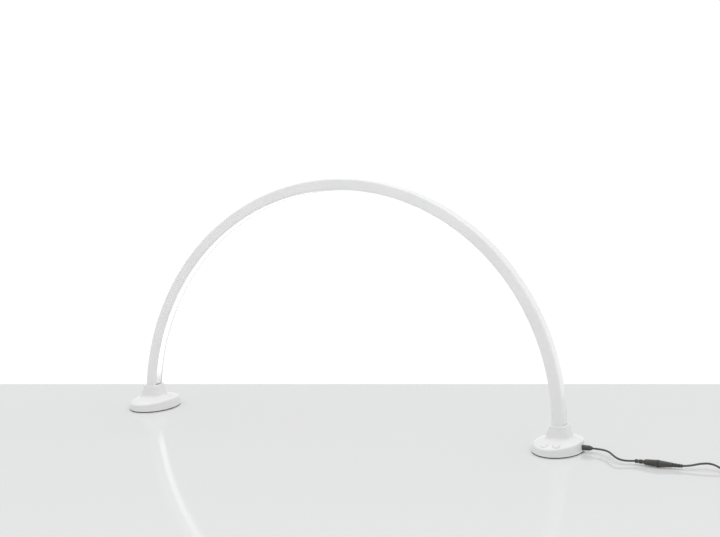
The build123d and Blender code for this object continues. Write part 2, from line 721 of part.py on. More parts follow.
def adapter_parts():
    """The transformer and the row of capacitors on the adapter's board."""
    x, y = ADAPTER_CENTRE
    top = ADAPTER_WALL + 2.6
    transformer = Pos(x + 2, y, top + 8) * Box(15, 17, 16)
    capacitors = Compound([
        upright_cylinder(x + 18, y - 6, top, top + 14, 10),
        upright_cylinder(x + 18, y + 7, top, top + 12, 8),
        upright_cylinder(x - 13, y + 5, top, top + 12, 8),
    ])
    return transformer, capacitors


# ---- Assembly --------------------------------------------------------------------

def write(name, shape):
    """Write one sub-part to its own file."""
    if isinstance(shape, (list, tuple)):
        shape = Compound(list(shape))
    export_step(shape, f"parts/{name}.step")


def write_bow():
    """Write the bow's pieces."""
    write("arch_channel", arch_channel())
    write("arch_diffuser", arch_diffuser())
    write("led_strip_board", led_strip_board())
    write("led_chips", led_chips())
    write("led_wire_red", led_wire(-WIRE_HALF_SPACING))
    write("led_wire_black", led_wire(WIRE_HALF_SPACING))


def write_foot(name, side):
    """Write one foot's pieces and hand back its shell."""
    leg_holes = arch_screws(side, screw_hole)
    all_holes = leg_holes + plate_screws(side, screw_hole)
    shell = foot_shell(side, all_holes)
    write(f"{name}_foot_shell", shell)
    write(f"{name}_foot_plate", foot_plate(side, all_holes))
    write(f"{name}_foot_weight", foot_weight(side, leg_holes))
    write(f"{name}_foot_pad", foot_pad(side))
    write(f"{name}_plate_screws", plate_screws(side, countersunk_screw))
    write(f"{name}_arch_screws", arch_screws(side, countersunk_screw))
    write(f"{name}_arch_end_plug", arch_end_plug(side, leg_holes))
    return shell


def write_controls():
    """Write the board, the switches and the two push buttons."""
    screws = board_screws()
    write("control_board", control_board(screws))
    write("board_screws", screws)
    write("board_components", board_components())
    for name in BUTTON_SPOTS:
        write(f"{name}_switch", push_switch(name))
        write(f"{name}_switch_plunger", plunger(name))
        write(f"{name}_button_cap", button_cap(name))


def write_supply(right_shell):
    """Write the leads, the connector, the coil and the wall adapter."""
    write("cord_bush", cord_bush(right_shell))
    write("inner_lead", inner_lead())
    socket = inline_socket()
    plug = inline_plug()
    write("captive_cord", cord_tube("captive_cord", CAPTIVE_ROUTE, CORD_DIAMETER) - socket)
    write("inline_socket", socket)
    write("inline_socket_pin", inline_socket_pin())
    write("inline_plug", plug)
    write("inline_plug_barrel", inline_plug_barrel())
    room = coil_room()
    write("supply_coil", supply_coil())
    write("supply_cord", cord_tube("supply_cord", SUPPLY_ROUTE, CORD_DIAMETER) - plug - room)
    write("supply_tail", cord_tube("supply_tail", TAIL_ROUTE, CORD_DIAMETER) - room)
    write("coil_tie", coil_tie())
    write("adapter_base", adapter_base())
    write("adapter_cover", adapter_cover())
    write("adapter_pins", adapter_pins())
    write("adapter_relief", adapter_relief())
    write("adapter_board", adapter_board())
    transformer, capacitors = adapter_parts()
    write("adapter_transformer", transformer)
    write("adapter_capacitors", capacitors)


os.makedirs("parts", exist_ok=True)
write_bow()
write_foot("left", -1)
write_controls()
write_supply(write_foot("right", 1))
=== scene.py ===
"""A table-top arch lamp: a half-round LED bow in two oval feet, with its lead and adapter."""
import json
import logging
import math
from collections.abc import Callable
from dataclasses import dataclass
from enum import Enum

import bpy
import numpy as np
from mathutils import Matrix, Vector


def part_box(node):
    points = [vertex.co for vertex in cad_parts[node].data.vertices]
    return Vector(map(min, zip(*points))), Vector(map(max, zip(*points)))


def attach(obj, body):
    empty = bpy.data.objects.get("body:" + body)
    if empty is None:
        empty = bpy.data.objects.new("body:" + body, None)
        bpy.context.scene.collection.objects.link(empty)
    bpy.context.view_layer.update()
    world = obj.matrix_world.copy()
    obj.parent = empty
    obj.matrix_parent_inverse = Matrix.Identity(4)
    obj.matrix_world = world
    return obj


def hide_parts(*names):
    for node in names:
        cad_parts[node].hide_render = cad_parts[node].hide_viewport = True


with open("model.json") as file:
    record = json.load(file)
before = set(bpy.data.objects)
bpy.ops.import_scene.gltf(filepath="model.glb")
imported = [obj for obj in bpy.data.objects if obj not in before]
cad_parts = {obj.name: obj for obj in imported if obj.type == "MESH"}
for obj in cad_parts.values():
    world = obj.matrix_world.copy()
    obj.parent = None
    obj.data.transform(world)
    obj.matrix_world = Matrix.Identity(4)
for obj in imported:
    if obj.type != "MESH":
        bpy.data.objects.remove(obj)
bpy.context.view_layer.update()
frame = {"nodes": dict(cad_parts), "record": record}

Array = np.ndarray
Point = tuple[float, float, float]
Colour = tuple[float, float, float]
Piece = bpy.types.Object
Tree = bpy.types.NodeTree
Material = bpy.types.Material

log = logging.getLogger("arch_lamp")

MM = 0.001
SMOOTH_LIMIT = math.radians(32)     # a fold sharper than this stays a crisp edge
ROUND = 2 * math.pi


# ---- Mesh making ------------------------------------------------------------------

def ring_angles(count: int) -> Array:
    """Evenly spaced angles round a full turn, without the repeated last one.

    Args:
        count: how many angles.

    Returns:
        The angles in radians.
    """
    return np.arange(count) * ROUND / count


def signed_volume(points: Array, faces: Array) -> float:
    """The sum of the tetrahedra from the origin to each triangle: positive if faces point out.

    Args:
        points: the vertices, one per row.
        faces: the triangles, as three vertex numbers per row.

    Returns:
        The volume with its sign.
    """
    a, b, c = (points[faces[:, corner]] for corner in range(3))
    return float(np.einsum("ij,ij->i", a, np.cross(b, c)).sum() / 6)


def grid_object(name: str, rings: Array, run: Array | None = None, closed: bool = False,
                poles: tuple[Point, Point] | None = None) -> Piece:
    """A closed surface through rings of points: quads between neighbouring rings.

    Ring i and ring i+1 are joined point by point, and each ring closes on itself. The last ring
    joins the first if the shape is a loop, and otherwise a fan of triangles runs from each end
    ring to its pole. The UV map holds the turn round the ring and the distance along the run.

    Args:
        name: the piece's name.
        rings: an array of rings, points and coordinates, in metres.
        run: a value for each ring, which becomes the UV map's second coordinate.
        closed: whether the last ring joins the first.
        poles: the two end points of an open run; the middle of each end ring if left out.

    Returns:
        The piece, smooth but for its sharp folds.
    """
    count, size = rings.shape[:2]
    points = rings.reshape(-1, 3)
    if run is None:
        steps = np.linalg.norm(np.diff(rings.mean(axis=1), axis=0), axis=1)
        run = np.concatenate([[0.0], np.cumsum(steps)])
    rows = np.arange(count if closed else count - 1)
    i, j = np.meshgrid(rows, np.arange(size), indexing="ij")
    after, beside = (i + 1) % count, (j + 1) % size
    quads = np.stack([i * size + j, i * size + beside, after * size + beside, after * size + j], -1)
    quads = quads.reshape(-1, 4)
    turn = np.stack([j, j + 1, j + 1, j], -1).reshape(-1) / size
    along = np.stack([run[i], run[i], run[after], run[after]], -1).reshape(-1)
    faces = quads
    triangles = np.zeros((0, 3), int)
    if not closed:
        ends = poles if poles is not None else (rings[0].mean(axis=0), rings[-1].mean(axis=0))
        points = np.vstack([points, np.array(ends)])
        column = np.arange(size)
        next_column = (column + 1) % size
        pole, last = np.full(size, count * size), (count - 1) * size
        first = np.stack([pole, next_column, column], -1)
        final = np.stack([pole + 1, last + column, last + next_column], -1)
        triangles = np.vstack([first, final])
        flat_turn = np.stack([column + 0.5, column + 1, column], -1) / size
        back_turn = np.stack([column + 0.5, column, column + 1], -1) / size
        turn = np.concatenate([turn, flat_turn.reshape(-1), back_turn.reshape(-1)])
        along = np.concatenate([along, np.full(3 * size, run[0]), np.full(3 * size, run[-1])])
    halves = np.vstack([faces[:, [0, 1, 2]], faces[:, [0, 2, 3]], triangles])
    uv = np.stack([turn, along], -1)
    if signed_volume(points, halves) < 0:
        faces, triangles = faces[:, ::-1], triangles[:, ::-1]
        quad_uv = uv[:4 * len(faces)].reshape(-1, 4, 2)[:, ::-1].reshape(-1, 2)
        tri_uv = uv[4 * len(faces):].reshape(-1, 3, 2)[:, ::-1].reshape(-1, 2)
        uv = np.vstack([quad_uv, tri_uv])
    mesh = bpy.data.meshes.new(name)
    mesh.from_pydata(points.tolist(), [], faces.tolist() + triangles.tolist())
    layer = mesh.uv_layers.new(name="UVMap")
    layer.data.foreach_set("uv", uv.astype(np.float32).ravel())
    return finished(name, mesh)


def finished(name: str, mesh: bpy.types.Mesh) -> Piece:
    """Shade a mesh smooth between its sharp folds and put it in the scene.

    Args:
        name: the piece's name.
        mesh: the mesh, with its place in its points.

    Returns:
        The piece.
    """
    mesh.shade_smooth()
    mesh.set_sharp_from_angle(angle=SMOOTH_LIMIT)
    piece = bpy.data.objects.new(name, mesh)
    bpy.context.scene.collection.objects.link(piece)
    return piece


def lathe_x(name: str, x: Array, radius: Array, y: float, z: float) -> Piece:
    """A body round an axis along X: each ring is a circle, or a closed curve if radius varies.

    Args:
        name: the piece's name.
        x: the place of each ring.
        radius: a value for each ring, or for each ring and each angle.
        y: the axis's Y.
        z: the axis's height.

    Returns:
        The piece.
    """
    if radius.ndim == 1:
        radius = np.repeat(radius[:, None], 48, axis=1)
    angle = ring_angles(radius.shape[1])
    rings = np.stack([np.broadcast_to(x[:, None], radius.shape), y + radius * np.cos(angle),
                      z + radius * np.sin(angle)], -1)
    ends = ((x[0], y, z), (x[-1], y, z))
    return grid_object(name, rings, x - x[0], poles=ends)


def fillet_loop(corners: list[tuple[float, float, float]], steps: int = 6) -> Array:
    """A closed outline whose corners are true arcs.

    At each corner the arc's centre lies on the bisector, the radius over the sine of half the
    angle away, and a holding point just outside each tangent point keeps the flats flat.

    Args:
        corners: (a, b, radius) for each corner, in order.
        steps: how many runs each arc has.

    Returns:
        The outline's points, one per row.
    """
    outline = []
    for before, here, after in zip(corners[-1:] + corners[:-1], corners, corners[1:] + corners[:1]):
        corner = np.array(here[:2])
        to_before, to_after = np.array(before[:2]) - corner, np.array(after[:2]) - corner
        length_before, length_after = np.linalg.norm(to_before), np.linalg.norm(to_after)
        to_before, to_after = to_before / length_before, to_after / length_after
        half = math.acos(float(np.clip(to_before @ to_after, -1, 1))) / 2
        reach = here[2] / math.tan(half)
        hold = 0.2 * here[2]
        bisector = (to_before + to_after) / np.linalg.norm(to_before + to_after)
        centre = corner + bisector * here[2] / math.sin(half)
        first = (corner + to_before * reach - centre) / here[2]
        tau = np.linspace(0, math.pi - 2 * half, steps + 1)[:, None]
        arc = centre + here[2] * (np.cos(tau) * first + np.sin(tau) * -to_before)
        outline += [corner + to_before * (reach + hold), arc, corner + to_after * (reach + hold)]
    return np.vstack(outline)


def oval(half: tuple[float, float], angle: Array) -> Array:
    """Points of an ellipse: half sizes times cosine and sine of the angle."""
    return np.stack([half[0] * np.cos(angle), half[1] * np.sin(angle)], -1)


def rounded_box_reach(half_x: Array, half_y: Array, corner: Array, angle: Array) -> Array:
    """How far a ray from the middle of a rounded rectangle runs before it leaves it.

    The ray ends on the flat side it meets first, or on the corner's circle, where the distance
    solves the quadratic of a line and a circle.

    Args:
        half_x: half the size along X.
        half_y: half the size along Y.
        corner: the corner's radius.
        angle: the ray's direction.

    Returns:
        The distance, shaped as the inputs broadcast together.
    """
    cos, sin = np.abs(np.cos(angle)) + 1e-9, np.abs(np.sin(angle)) + 1e-9
    on_x, on_y = half_x / cos, half_y / sin
    middle_x, middle_y = half_x - corner, half_y - corner
    dot = cos * middle_x + sin * middle_y
    root = np.maximum(dot ** 2 - middle_x ** 2 - middle_y ** 2 + corner ** 2, 0)
    on_corner = dot + np.sqrt(root)
    reach = np.where(on_x * sin <= middle_y, on_x, on_corner)
    return np.where(on_y * cos <= middle_x, on_y, reach)


def bend(start: Array, corner: Array, end: Array, steps: int) -> Array:
    """Rings of a quadratic Bezier from start to end that leaves and lands along its corner.

    Args:
        start: the first ring.
        corner: the ring where the two surfaces would meet.
        end: the last ring.
        steps: how many runs.

    Returns:
        The rings, start and end among them.
    """
    t = np.linspace(0, 1, steps + 1)[:, None, None]
    return (1 - t) ** 2 * start + 2 * t * (1 - t) * corner + t ** 2 * end


def blend_rings(start: Array, end: Array, steps: int) -> Array:
    """Rings on the straight way from one ring to another, without its two ends."""
    t = np.linspace(0, 1, steps + 2)[1:-1, None, None]
    return (1 - t) * start + t * end


# ---- Finishes ---------------------------------------------------------------------

class Grain(Enum):
    """The kinds of fine relief that the finishes use."""

    ORANGE_PEEL = "orange_peel"
    MOULDED = "moulded"
    BRUSHED = "brushed"


def add_node(tree: Tree, kind: str, group: Tree | None = None,
             **values: object) -> bpy.types.Node:
    """Add a shader node and set its sockets.

    Args:
        tree: where it goes.
        kind: the node's type, without the word Shader that starts it.
        group: the node group that it stands for, if it is a group node.
        values: a value for each named socket, with an underscore for each space.

    Returns:
        The node.
    """
    node = tree.nodes.new(f"Shader{kind}")
    if group is not None:
        node.node_tree = group
    for socket, value in values.items():
        node.inputs[socket.replace("_", " ")].default_value = value
    return node


class Effects:
    """The shader node groups that the finishes share, each built once."""

    _groups: dict[str, Tree] = {}

    @classmethod
    def _start(cls, name: str, inputs: dict[str, str], outputs: dict[str, str]) -> Tree:
        """An empty node group with named sockets."""
        group = bpy.data.node_groups.new(name, "ShaderNodeTree")
        for socket, kind in inputs.items():
            group.interface.new_socket(socket, in_out="INPUT", socket_type=f"NodeSocket{kind}")
        for socket, kind in outputs.items():
            group.interface.new_socket(socket, in_out="OUTPUT", socket_type=f"NodeSocket{kind}")
        group.nodes.new("NodeGroupInput")
        group.nodes.new("NodeGroupOutput")
        cls._groups[name] = group
        return group

    @classmethod
    def drift(cls) -> Tree:
        """Slow change of tone: a soft noise mixes the colour towards its shade."""
        if "tone_drift" in cls._groups:
            return cls._groups["tone_drift"]
        group = cls._start("tone_drift", {"Vector": "Vector", "Colour": "Color", "Shade": "Color",
                                          "Scale": "Float"}, {"Colour": "Color", "Mask": "Float"})
        source, sink = group.nodes[0], group.nodes[1]
        noise = add_node(group, "NodeTexNoise", Detail=4.0, Roughness=0.55)
        spread = add_node(group, "NodeMapRange", From_Min=0.35, From_Max=0.65)
        mix = add_node(group, "NodeMix")
        mix.data_type = "RGBA"
        link = group.links.new
        link(source.outputs["Vector"], noise.inputs["Vector"])
        link(source.outputs["Scale"], noise.inputs["Scale"])
        link(noise.outputs["Fac"], spread.inputs["Value"])
        link(spread.outputs["Result"], mix.inputs["Factor"])
        link(source.outputs["Colour"], mix.inputs[6])
        link(source.outputs["Shade"], mix.inputs[7])
        link(mix.outputs[2], sink.inputs["Colour"])
        link(spread.outputs["Result"], sink.inputs["Mask"])
        return group

    @classmethod
    def relief(cls, kind: Grain) -> Tree:
        """Fine relief: a height that a material's Bump node turns into a normal.

        Args:
            kind: soft peel of sprayed paint, small moulded pits, or drawn-out brush lines.

        Returns:
            The node group, with a Height output from 0 to 1.
        """
        if kind.value in cls._groups:
            return cls._groups[kind.value]
        group = cls._start(kind.value, {"Vector": "Vector", "Scale": "Float"}, {"Height": "Float"})
        source, sink = group.nodes[0], group.nodes[1]
        link = group.links.new
        if kind is Grain.MOULDED:
            texture = add_node(group, "NodeTexVoronoi")
            texture.feature = "SMOOTH_F1"
            height = texture.outputs["Distance"]
        else:
            detail = 2.0 if kind is Grain.ORANGE_PEEL else 6.0
            texture = add_node(group, "NodeTexNoise", Detail=detail)
            height = texture.outputs["Fac"]
        vector = source.outputs["Vector"]
        if kind is Grain.BRUSHED:
            stretch = add_node(group, "NodeMapping", Scale=(0.06, 1.0, 1.0))
            link(vector, stretch.inputs["Vector"])
            vector = stretch.outputs["Vector"]
        link(vector, texture.inputs["Vector"])
        link(source.outputs["Scale"], texture.inputs["Scale"])
        link(height, sink.inputs["Height"])
        return group


@dataclass(frozen=True)
class Finish:
    """One procedural finish: its tones, its gloss and its fine relief."""

    name: str
    colour: Colour
    shade: Colour
    roughness: tuple[float, float]      # where the drift is light and where it is dark
    drift_scale: float                  # per metre
    grain: Grain
    grain_scale: float                  # per metre
    grain_height: float                 # metres
    metallic: float = 0.0
    coat: float = 0.0
    specular: float = 0.5
    transmission: float = 0.0

    def material(self) -> Material:
        """The finish as a material on Object coordinates, made the first time it is asked for.

        Its name differs from the slot's, because the loaded nodes bring plain materials that
        have the slots' names.

        Returns:
            The material.
        """
        name = f"{self.name}_finish"
        known = bpy.data.materials.get(name)
        if known is not None:
            return known
        material = bpy.data.materials.new(name)
        material.use_nodes = True
        tree = material.node_tree
        shader = tree.nodes["Principled BSDF"]
        shader.inputs["Metallic"].default_value = self.metallic
        shader.inputs["Coat Weight"].default_value = self.coat
        shader.inputs["Coat Roughness"].default_value = 0.12
        shader.inputs["Specular IOR Level"].default_value = self.specular
        place = add_node(tree, "NodeTexCoord").outputs["Object"]
        drift = add_node(tree, "NodeGroup", Effects.drift(), Colour=(*self.colour, 1),
                         Shade=(*self.shade, 1), Scale=self.drift_scale)
        gloss = add_node(tree, "NodeMapRange", To_Min=self.roughness[0], To_Max=self.roughness[1])
        relief = add_node(tree, "NodeGroup", Effects.relief(self.grain), Scale=self.grain_scale)
        bump = add_node(tree, "NodeBump", Distance=self.grain_height, Strength=1.0)
        link = tree.links.new
        link(place, drift.inputs["Vector"])
        link(place, relief.inputs["Vector"])
        link(drift.outputs["Colour"], shader.inputs["Base Color"])
        link(drift.outputs["Mask"], gloss.inputs["Value"])
        link(gloss.outputs["Result"], shader.inputs["Roughness"])
        link(relief.outputs["Height"], bump.inputs["Height"])
        link(bump.outputs["Normal"], shader.inputs["Normal"])
        return material


ENAMEL = Finish("bow_enamel", (0.86, 0.86, 0.86), (0.825, 0.825, 0.83), (0.34, 0.42), 9.0,
                Grain.ORANGE_PEEL, 700.0, 0.000003, coat=0.15)
SHELL = Finish("foot_shell_white", (0.79, 0.79, 0.787), (0.765, 0.767, 0.77), (0.34, 0.42), 22.0,
               Grain.MOULDED, 1600.0, 0.00002)
BUTTON = Finish("button_white", (0.78, 0.78, 0.785), (0.75, 0.75, 0.76), (0.42, 0.5), 60.0,
                Grain.MOULDED, 2200.0, 0.00003)
SOLE = Finish("sole_rubber", (0.055, 0.055, 0.055), (0.04, 0.04, 0.04), (0.75, 0.9), 60.0,
              Grain.MOULDED, 1500.0, 0.00008)
JACKET = Finish("cord_jacket", (0.078, 0.075, 0.066), (0.056, 0.054, 0.048), (0.42, 0.55), 45.0,
                Grain.ORANGE_PEEL, 1400.0, 0.00005)
OVERMOULD = Finish("connector_overmould", (0.066, 0.064, 0.057), (0.05, 0.048, 0.043), (0.4, 0.52),
                   60.0, Grain.MOULDED, 1800.0, 0.00004)
CASE = Finish("adapter_case", (0.034, 0.034, 0.035), (0.024, 0.024, 0.025), (0.42, 0.55), 30.0,
              Grain.MOULDED, 1300.0, 0.00012)
STEEL = Finish("plate_steel", (0.60, 0.60, 0.61), (0.50, 0.50, 0.51), (0.28, 0.42), 40.0,
               Grain.BRUSHED, 2600.0, 0.00003, metallic=1.0)
IRON = Finish("weight_iron", (0.13, 0.13, 0.135), (0.08, 0.08, 0.085), (0.6, 0.8), 70.0,
              Grain.MOULDED, 700.0, 0.0002, metallic=0.7)
INNER = Finish("inner_plastic", (0.72, 0.72, 0.71), (0.66, 0.66, 0.65), (0.5, 0.6), 50.0,
               Grain.ORANGE_PEEL, 900.0, 0.00004)
BOARD = Finish("circuit_board", (0.86, 0.86, 0.84), (0.78, 0.79, 0.77), (0.35, 0.5), 180.0,
               Grain.ORANGE_PEEL, 1800.0, 0.00002, coat=0.3)
PHOSPHOR = Finish("led_phosphor", (0.95, 0.80, 0.32), (0.88, 0.70, 0.24), (0.25, 0.4), 500.0,
                  Grain.MOULDED, 4000.0, 0.00003)
COMPONENT = Finish("board_parts", (0.04, 0.04, 0.042), (0.03, 0.03, 0.03), (0.4, 0.55), 150.0,
                   Grain.MOULDED, 2400.0, 0.00004)
RED_WIRE = Finish("wire_red", (0.50, 0.025, 0.02), (0.40, 0.02, 0.018), (0.3, 0.4), 90.0,
                  Grain.ORANGE_PEEL, 2000.0, 0.00002)
BLACK_WIRE = Finish("wire_black", (0.03, 0.03, 0.03), (0.02, 0.02, 0.02), (0.3, 0.4), 90.0,
                    Grain.ORANGE_PEEL, 2000.0, 0.00002)
CONTACT = Finish("contact_metal", (0.80, 0.79, 0.76), (0.72, 0.71, 0.68), (0.16, 0.26), 120.0,
                 Grain.BRUSHED, 5000.0, 0.00001, metallic=1.0)

FINISHES = {finish.name: finish for finish in (
    ENAMEL, SHELL, BUTTON, SOLE, JACKET, OVERMOULD, CASE, STEEL, IRON, INNER, BOARD, PHOSPHOR,
    COMPONENT, RED_WIRE, BLACK_WIRE, CONTACT)}


@dataclass(frozen=True)
class OpalGlow:
    """The lit strip: opal plastic whose light fades where the LEDs stop, near the feet."""

    name: str = "opal_diffuser"
    colour: Colour = (0.88, 0.88, 0.87)
    light: Colour = (1.0, 0.985, 0.955)
    unlit: Colour = (0.10, 0.10, 0.10)
    strength: float = 0.4
    fade_start: float = 0.004       # distance from the strip's end, in metres
    fade_end: float = 0.030
    shade_part: float = 0.96        # how dark the drift's shade is, as a part of the colour
    drift_scale: float = 30.0       # per metre
    roughness: float = 0.45

    def material(self) -> Material:
        """The glowing material: the UV map's second coordinate is the way to the nearer end.

        Returns:
            The material.
        """
        material = bpy.data.materials.new(self.name)
        material.use_nodes = True
        tree = material.node_tree
        shader = tree.nodes["Principled BSDF"]
        shader.inputs["Roughness"].default_value = self.roughness
        shader.inputs["Emission Strength"].default_value = self.strength
        coordinates = add_node(tree, "NodeTexCoord")
        split = add_node(tree, "NodeSeparateXYZ")
        fade = add_node(tree, "NodeMapRange", From_Min=self.fade_start, From_Max=self.fade_end)
        fade.interpolation_type = "SMOOTHSTEP"
        glow = add_node(tree, "NodeMix")
        glow.data_type = "RGBA"
        glow.inputs[6].default_value = (*self.unlit, 1)
        glow.inputs[7].default_value = (*self.light, 1)
        shade = tuple(self.shade_part * part for part in self.colour)
        drift = add_node(tree, "NodeGroup", Effects.drift(), Colour=(*self.colour, 1),
                         Shade=(*shade, 1), Scale=self.drift_scale)
        link = tree.links.new
        link(coordinates.outputs["UV"], split.inputs["Vector"])
        link(split.outputs["Y"], fade.inputs["Value"])
        link(fade.outputs["Result"], glow.inputs["Factor"])
        link(glow.outputs[2], shader.inputs["Emission Color"])
        link(coordinates.outputs["Object"], drift.inputs["Vector"])
        link(drift.outputs["Colour"], shader.inputs["Base Color"])
        return material


def dress(piece: Piece, finish: Finish | OpalGlow, body: str, *nodes: str) -> Piece:
    """Give a new piece its finish, its body and the CAD nodes that it stands for.

    Args:
        piece: the new piece.
        finish: what it is made of.
        body: the body that it rides on.
        nodes: the nodes that it replaces.

    Returns:
        The same piece.
    """
    piece.data.materials.clear()
    piece.data.materials.append(finish.material())
    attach(piece, body)
    if nodes:
        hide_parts(*nodes)
    log.info("%s: rides on %s, finish %s", piece.name, body, finish.name)
    return piece


# ---- Studio -----------------------------------------------------------------------

@dataclass
class Studio:
    """The camera, the glossy table top and the soft white light round the lamp."""

    eye: Point = (0.9525, -1.8912, 0.5405)
    heading: float = 0.4510         # turned to the left of straight ahead, in radians
    tilt: float = 0.1310            # looking down
    roll: float = -0.0129
    lens: float = 65.842
    sensor: float = 36.0
    table_far_edge: tuple[tuple[float, float], tuple[float, float]] = (
        (-4.718, -1.605), (2.859, 1.525))
    table_near: float = -6.0
    table_colour: Colour = (0.72, 0.725, 0.725)
    table_roughness: float = 0.07
    backdrop: float = 1.05          # how bright the surround is where the camera sees it
    sky_peak: float = 1.4           # the strength that 1 stands for in sky
    sky: tuple[tuple[float, float], ...] = (        # height of the direction, and strength
        (0.0, 1.0), (0.07, 0.92), (0.15, 0.56), (0.22, 0.42), (0.42, 0.44), (0.62, 0.9),
        (1.0, 0.96))
    front_y: float = -0.8           # the direction's Y where the surround is dimmest
    back_y: float = 0.5             # and where it is brightest
    front_to_back: float = 0.06     # taken off in front and added behind

    def build(self) -> None:
        """Make the camera first, then the table and the light."""
        self._camera()
        self._table()
        self._light()
        bpy.context.scene.view_settings.view_transform = "Standard"
        log.info("studio ready")

    def _camera(self) -> None:
        """Place the camera and make it the scene's own."""
        data = bpy.data.cameras.new("camera")
        data.lens = self.lens
        data.sensor_width = self.sensor
        data.clip_end = 60
        camera = bpy.data.objects.new("camera", data)
        bpy.context.scene.collection.objects.link(camera)
        camera.location = self.eye
        turn = (Matrix.Rotation(self.heading, 3, "Z")
                @ Matrix.Rotation(math.pi / 2 - self.tilt, 3, "X")
                @ Matrix.Rotation(self.roll, 3, "Z"))
        camera.rotation_euler = turn.to_euler()
        bpy.context.scene.camera = camera

    def _table(self) -> None:
        """One flat glossy sheet that ends in a straight far edge."""
        (x_left, y_left), (x_right, y_right) = self.table_far_edge
        corners = [(x_left, y_left, 0), (x_left, self.table_near, 0), (x_right, self.table_near, 0),
                   (x_right, y_right, 0)]
        mesh = bpy.data.meshes.new("table")
        mesh.from_pydata(corners, [], [(0, 1, 2, 3)])
        table = bpy.data.objects.new("table", mesh)
        bpy.context.scene.collection.objects.link(table)
        material = bpy.data.materials.new("table_gloss")
        material.use_nodes = True
        shader = material.node_tree.nodes["Principled BSDF"]
        shader.inputs["Base Color"].default_value = (*self.table_colour, 1)
        shader.inputs["Roughness"].default_value = self.table_roughness
        mesh.materials.append(material)

    def _light(self) -> None:
        """A white surround: bright overhead and at the horizon, dimmer between and in front."""
        world = bpy.data.worlds.new("surround")
        bpy.context.scene.world = world
        world.use_nodes = True
        tree = world.node_tree
        sky = tree.nodes["Background"]
        sky.inputs["Color"].default_value = (1, 1, 1, 1)
        direction = add_node(tree, "NodeTexCoord")
        split = add_node(tree, "NodeSeparateXYZ")
        up = add_node(tree, "NodeFloatCurve")
        curve = up.mapping.curves[0]
        curve.points[0].location, curve.points[-1].location = self.sky[0], self.sky[-1]
        for place in self.sky[1:-1]:
            curve.points.new(*place)
        up.mapping.update()
        back = add_node(tree, "NodeMapRange", From_Min=self.front_y, From_Max=self.back_y,
                        To_Min=-self.front_to_back, To_Max=self.front_to_back)
        total = add_node(tree, "NodeMath")
        total.operation = "MULTIPLY_ADD"
        total.inputs[1].default_value = self.sky_peak
        seen = add_node(tree, "NodeLightPath")
        choice = add_node(tree, "NodeMix", B=self.backdrop)
        link = tree.links.new
        link(direction.outputs["Generated"], split.inputs["Vector"])
        link(split.outputs["Z"], up.inputs["Value"])
        link(split.outputs["Y"], back.inputs["Value"])
        link(up.outputs["Value"], total.inputs[0])
        link(back.outputs["Result"], total.inputs[2])
        link(total.outputs["Value"], choice.inputs["A"])
        link(seen.outputs["Is Camera Ray"], choice.inputs["Factor"])
        link(choice.outputs[0], sky.inputs["Strength"])


# ---- Leads ------------------------------------------------------------------------

CAPTIVE_ROUTE = [
    (0.4222, 0.0, 0.0075),
    (0.433, 0.0, 0.0075),
    (0.446, -0.008, 0.0086),
    (0.455, -0.0205, 0.0096),
    (0.463, -0.032, 0.009),
    (0.471, -0.0395, 0.0073),
    (0.48, -0.0408, 0.0059),
    (0.4885, -0.0383, 0.0055),
    (0.496, -0.035, 0.0055),
]
SUPPLY_ROUTE = [
    (0.5635, -0.035, 0.0055),
    (0.574, -0.0325, 0.006),
    (0.587, -0.024, 0.0086),
    (0.602, -0.0185, 0.0094),
    (0.617, -0.0255, 0.006),
    (0.631, -0.038, 0.003),
    (0.645, -0.052, 0.0023),
    (0.664, -0.0555, 0.0023),
]
TAIL_ROUTE = [
    (0.664, -0.0145, 0.0113),
    (0.65, -0.014, 0.0106),
    (0.636, -0.006, 0.006),
    (0.63, 0.007, 0.003),
    (0.6345, 0.021, 0.005),
    (0.646, 0.029, 0.009),
    (0.658, 0.029, 0.009),
]


def cord_curve(name: str, route: list[Point], diameter: float) -> Piece:
    """A round cord along one NURBS spline with the route's points as control points.

    Args:
        name: the piece's name.
        route: the control points, in metres.
        diameter: the cord's thickness.

    Returns:
        The curve object.
    """
    data = bpy.data.curves.new(name, "CURVE")
    data.dimensions = "3D"
    data.resolution_u = 8
    data.bevel_depth = diameter / 2
    data.bevel_resolution = 5
    data.use_fill_caps = True
    spline = data.splines.new("NURBS")
    spline.points.add(len(route) - 1)
    spline.points.foreach_set("co", np.column_stack([np.array(route), np.ones(len(route))]).ravel())
    spline.order_u = 3
    spline.use_endpoint_u = True
    piece = bpy.data.objects.new(name, data)
    bpy.context.scene.collection.objects.link(piece)
    return piece


